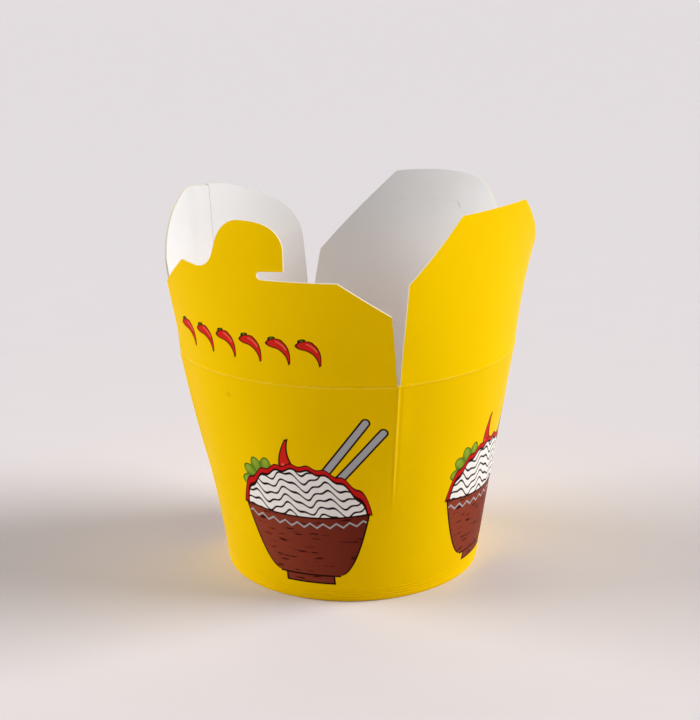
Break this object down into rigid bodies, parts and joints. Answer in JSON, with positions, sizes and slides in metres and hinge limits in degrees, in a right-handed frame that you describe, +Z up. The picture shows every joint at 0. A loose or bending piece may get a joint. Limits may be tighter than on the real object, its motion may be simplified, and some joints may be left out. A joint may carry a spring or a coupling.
{
  "type": "noodle takeaway box",
  "caption": "Open paperboard takeaway box for noodles: round base, flared wall and folding top flaps with a hook and slit closure.",
  "frame": {"origin": "on the resting plane, under the middle of the bounding box of the open box", "axes": "+Z up out of the open top; the hook flap is on the -Y side, the slit flap on +Y, the plain flap on +X and the seam flap on -X"},
  "size_m": [0.1078, 0.1268, 0.1242],
  "materials": {
    "printed_board": "semi-gloss yellow print outside, white coated board inside",
    "white_board": "smooth white coated board"
  },
  "bodies": {
    "box": {"wall": "printed_board", "base_disc": "white_board"},
    "hook_side": {"hook_flap": "printed_board"},
    "right_side": {"right_flap": "printed_board"},
    "slit_side": {"slit_flap": "printed_board"},
    "left_side": {"left_flap": "printed_board"}
  },
  "joints": [
    {"name": "hook_flap_fold", "type": "hinge", "parent": "box", "child": "hook_side", "pos_m": [-0.00029, -0.04002, 0.07455], "axis": [-1, 0, 0], "range_deg": [0, 68]},
    {"name": "right_flap_fold", "type": "hinge", "parent": "box", "child": "right_side", "pos_m": [0.03831, -0.00142, 0.07455], "axis": [0, -1, 0], "range_deg": [0, 98]},
    {"name": "slit_flap_fold", "type": "hinge", "parent": "box", "child": "slit_side", "pos_m": [-0.00029, 0.03718, 0.07455], "axis": [1, 0, 0], "range_deg": [0, 69]},
    {"name": "left_flap_fold", "type": "hinge", "parent": "box", "child": "left_side", "pos_m": [-0.03889, -0.00142, 0.07455], "axis": [0, 1, 0], "range_deg": [0, 110]}
  ]
}
